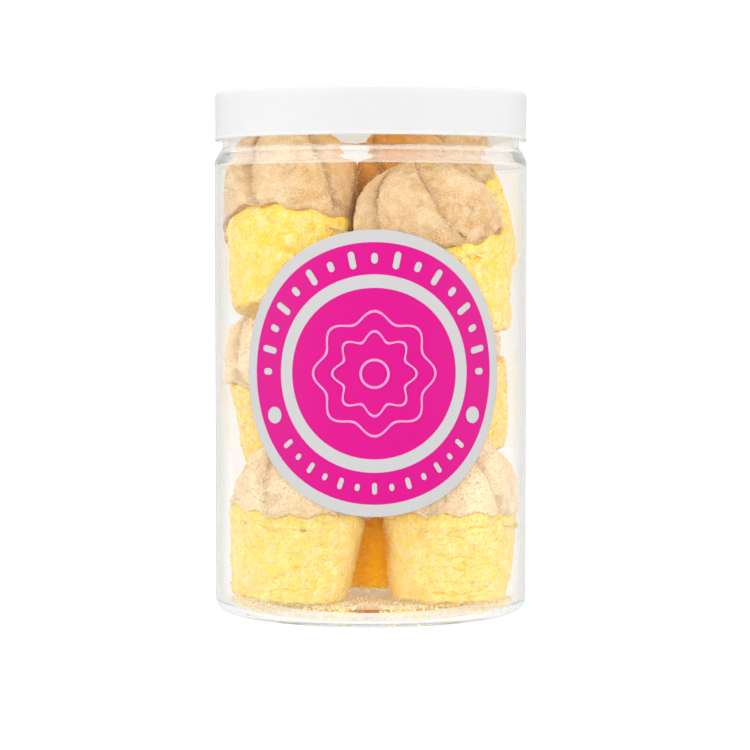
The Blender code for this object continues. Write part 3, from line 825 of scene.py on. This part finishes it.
for kind, each in GRAINS_ON_EACH.items():
    spots = []
    for name in PIECES:
        local, rows, away = skins[name, kind]
        high = local[..., 2] / CUP_HEIGHT
        want = np.exp(-high * 5) * 2.2 + 0.5 if kind == "cup" else 0.6 + 0 * high
        edge = np.linalg.norm(np.cross(np.gradient(rows, axis=0), np.gradient(rows, axis=1)), axis=-1)
        clump = np.clip(0.8 + 0.7 * noise(local, 5 * MM, 77), 0.1, 2)
        seam = (np.hypot(local[..., 0], local[..., 1]) < SEAM_RADIUS) & (np.abs(high - 1) < 0.13)
        weight = np.where(seam, 0, want * edge * clump).ravel()
        chosen = draw.choice(weight.size, each, p=weight / weight.sum())
        jitter = draw.normal(scale=0.15 * MM, size=(each, 3))
        spots.append(rows.reshape(-1, 3)[chosen] + jitter + 0.05 * MM * away.reshape(-1, 3)[chosen])
    spots = np.vstack(spots)
    spots = spots[np.hypot(spots[:, 0], spots[:, 1]) < CLEAR_OF_WALL]
    crystals(f"sugar_on_{kind}s", spots, draw.gamma(6, 0.038 * MM, len(spots)), grit[kind])

turn = draw.uniform(0, 2 * math.pi, GRAINS_ON_FLOOR)
out = DRIFT_RADIUS * np.sqrt(draw.uniform(0, 1, GRAINS_ON_FLOOR))
spots = np.column_stack([out * np.cos(turn), out * np.sin(turn), 0 * out])
drift = noise(spots, 9 * MM, 5) + 0.9 * (out / DRIFT_RADIUS) ** 3
drift -= 2.5 * np.clip(out / DRIFT_RADIUS - 0.9, 0, 1) / 0.1
spots, out = spots[drift > -0.1], out[drift > -0.1]
floor_line = rounded(JAR_CORNERS[:4] + [(49.2, 10, 0)], steps=8)
spots[:, 2] = np.interp(out, floor_line[:, 0], floor_line[:, 1]) + 0.12 * MM
spots[:, 2] += draw.exponential(0.12 * MM, len(out))
crystals("sugar_on_floor", spots, draw.gamma(5, 0.07 * MM, len(spots)), grit["loose"])

turn = draw.uniform(0, 2 * math.pi, GRAINS_ON_WALL)
high = draw.uniform(5 * MM, 143 * MM, GRAINS_ON_WALL)
spots = np.column_stack([WALL_RADIUS * np.cos(turn), WALL_RADIUS * np.sin(turn), high])
crystals("sugar_on_wall", spots, draw.gamma(4, 0.035 * MM, GRAINS_ON_WALL), grit["loose"])


# The table and backdrop: one white sheet of paper that lies flat under the jar and curves up far
# behind it. It is lit evenly enough to look plain white, and isn't part of the object.
sweep_line = np.array(
    [(y, 0.0) for y in np.linspace(-1.6, 1.0, 14)]
    + [(1.0 + 0.8 * math.sin(t), 0.8 - 0.8 * math.cos(t)) for t in np.linspace(0.1, math.pi / 2, 14)]
    + [(1.8, z) for z in np.linspace(1.0, 3.2, 8)])
across = np.linspace(2.4, -2.4, 24)
sheet_rows = np.stack([across[None] + 0 * sweep_line[:, :1], sweep_line[:, :1] + 0 * across[None],
                       sweep_line[:, 1:] + 0 * across[None]], axis=-1)
paper, nodes, links, shader = principled("white_sheet", (0.1, 0.1, 0.1), 0.7)
shader.inputs["Emission Color"].default_value = (1, 1, 1, 1)
shader.inputs["Emission Strength"].default_value = 0.97
sheet = surface("backdrop", sheet_rows, paper, closed_round=False)
sheet.visible_glossy = False


# The light: white surroundings, a little dimmer level with the jar, and four soft panels, one on
# each side, one overhead and one at the front. None of the panels shows as a reflection.
world = bpy.data.worlds.new("studio")
bpy.context.scene.world = world
world.use_nodes = True
nodes = world.node_tree.nodes
links = world.node_tree.links
sky = nodes["Background"]
sky.inputs["Color"].default_value = (0.95, 0.97, 1, 1)
path = nodes.new("ShaderNodeLightPath")
where = nodes.new("ShaderNodeTexCoord")
split = nodes.new("ShaderNodeSeparateXYZ")
links.new(where.outputs["Generated"], split.inputs["Vector"])
steep = worked_out(nodes, links, "ABSOLUTE", split.outputs["Z"])
below = between(nodes, links, steep, 0.1, 0.35, 0.6, 1.0)
strength = 0.95
for ray, level in (("Is Camera Ray", 1.0), ("Is Glossy Ray", below), ("Is Transmission Ray", 1.0)):
    choose = nodes.new("ShaderNodeMix")
    links.new(path.outputs[ray], choose.inputs["Factor"])
    feed(links, choose.inputs["A"], strength)
    feed(links, choose.inputs["B"], level)
    strength = choose.outputs["Result"]
links.new(strength, sky.inputs["Strength"])
PANELS = [
    ("left_panel", (-0.75, -0.35, 0.3), (0.0, 0.0, 0.08), (0.6, 0.9), 6.4),
    ("right_panel", (0.75, -0.3, 0.3), (0.0, 0.0, 0.08), (0.6, 0.9), 6.2),
    ("top_panel", (0.0, -0.05, 0.95), (0.0, 0.0, 0.1), (0.9, 0.7), 4.1),
    ("front_panel", (-0.05, -1.35, 0.14), (0.0, 0.0, 0.1), (0.6, 0.4), 13.4),
]
for name, place, aim, size, watts in PANELS:
    lamp = bpy.data.lights.new(name, "AREA")
    lamp.shape = "RECTANGLE"
    lamp.size, lamp.size_y = size
    lamp.energy = watts
    holder = bpy.data.objects.new(name, lamp)
    holder.location = place
    ray = np.array(aim) - np.array(place)
    tilt = math.acos(-ray[2] / np.linalg.norm(ray))
    holder.rotation_euler = (tilt, 0, math.atan2(ray[1], ray[0]) - math.pi / 2)
    holder.visible_glossy = False
    holder.visible_transmission = False
    bpy.context.scene.collection.objects.link(holder)


# The camera, where the photo's stood: far back in front of the jar, a little over its middle and
# tipped slightly down, with a long lens.
camera = bpy.data.cameras.new("camera")
camera.sensor_width = 36
camera.lens = 127.7
camera.shift_y = 0.0215
camera.clip_start = 0.05
viewer = bpy.data.objects.new("camera", camera)
viewer.location = (1.37 * MM, -857 * MM, 114 * MM)
viewer.rotation_euler = (math.pi / 2 - 0.051, 0, 0)
bpy.context.scene.collection.objects.link(viewer)
bpy.context.scene.camera = viewer
bpy.context.scene.view_settings.view_transform = "Standard"
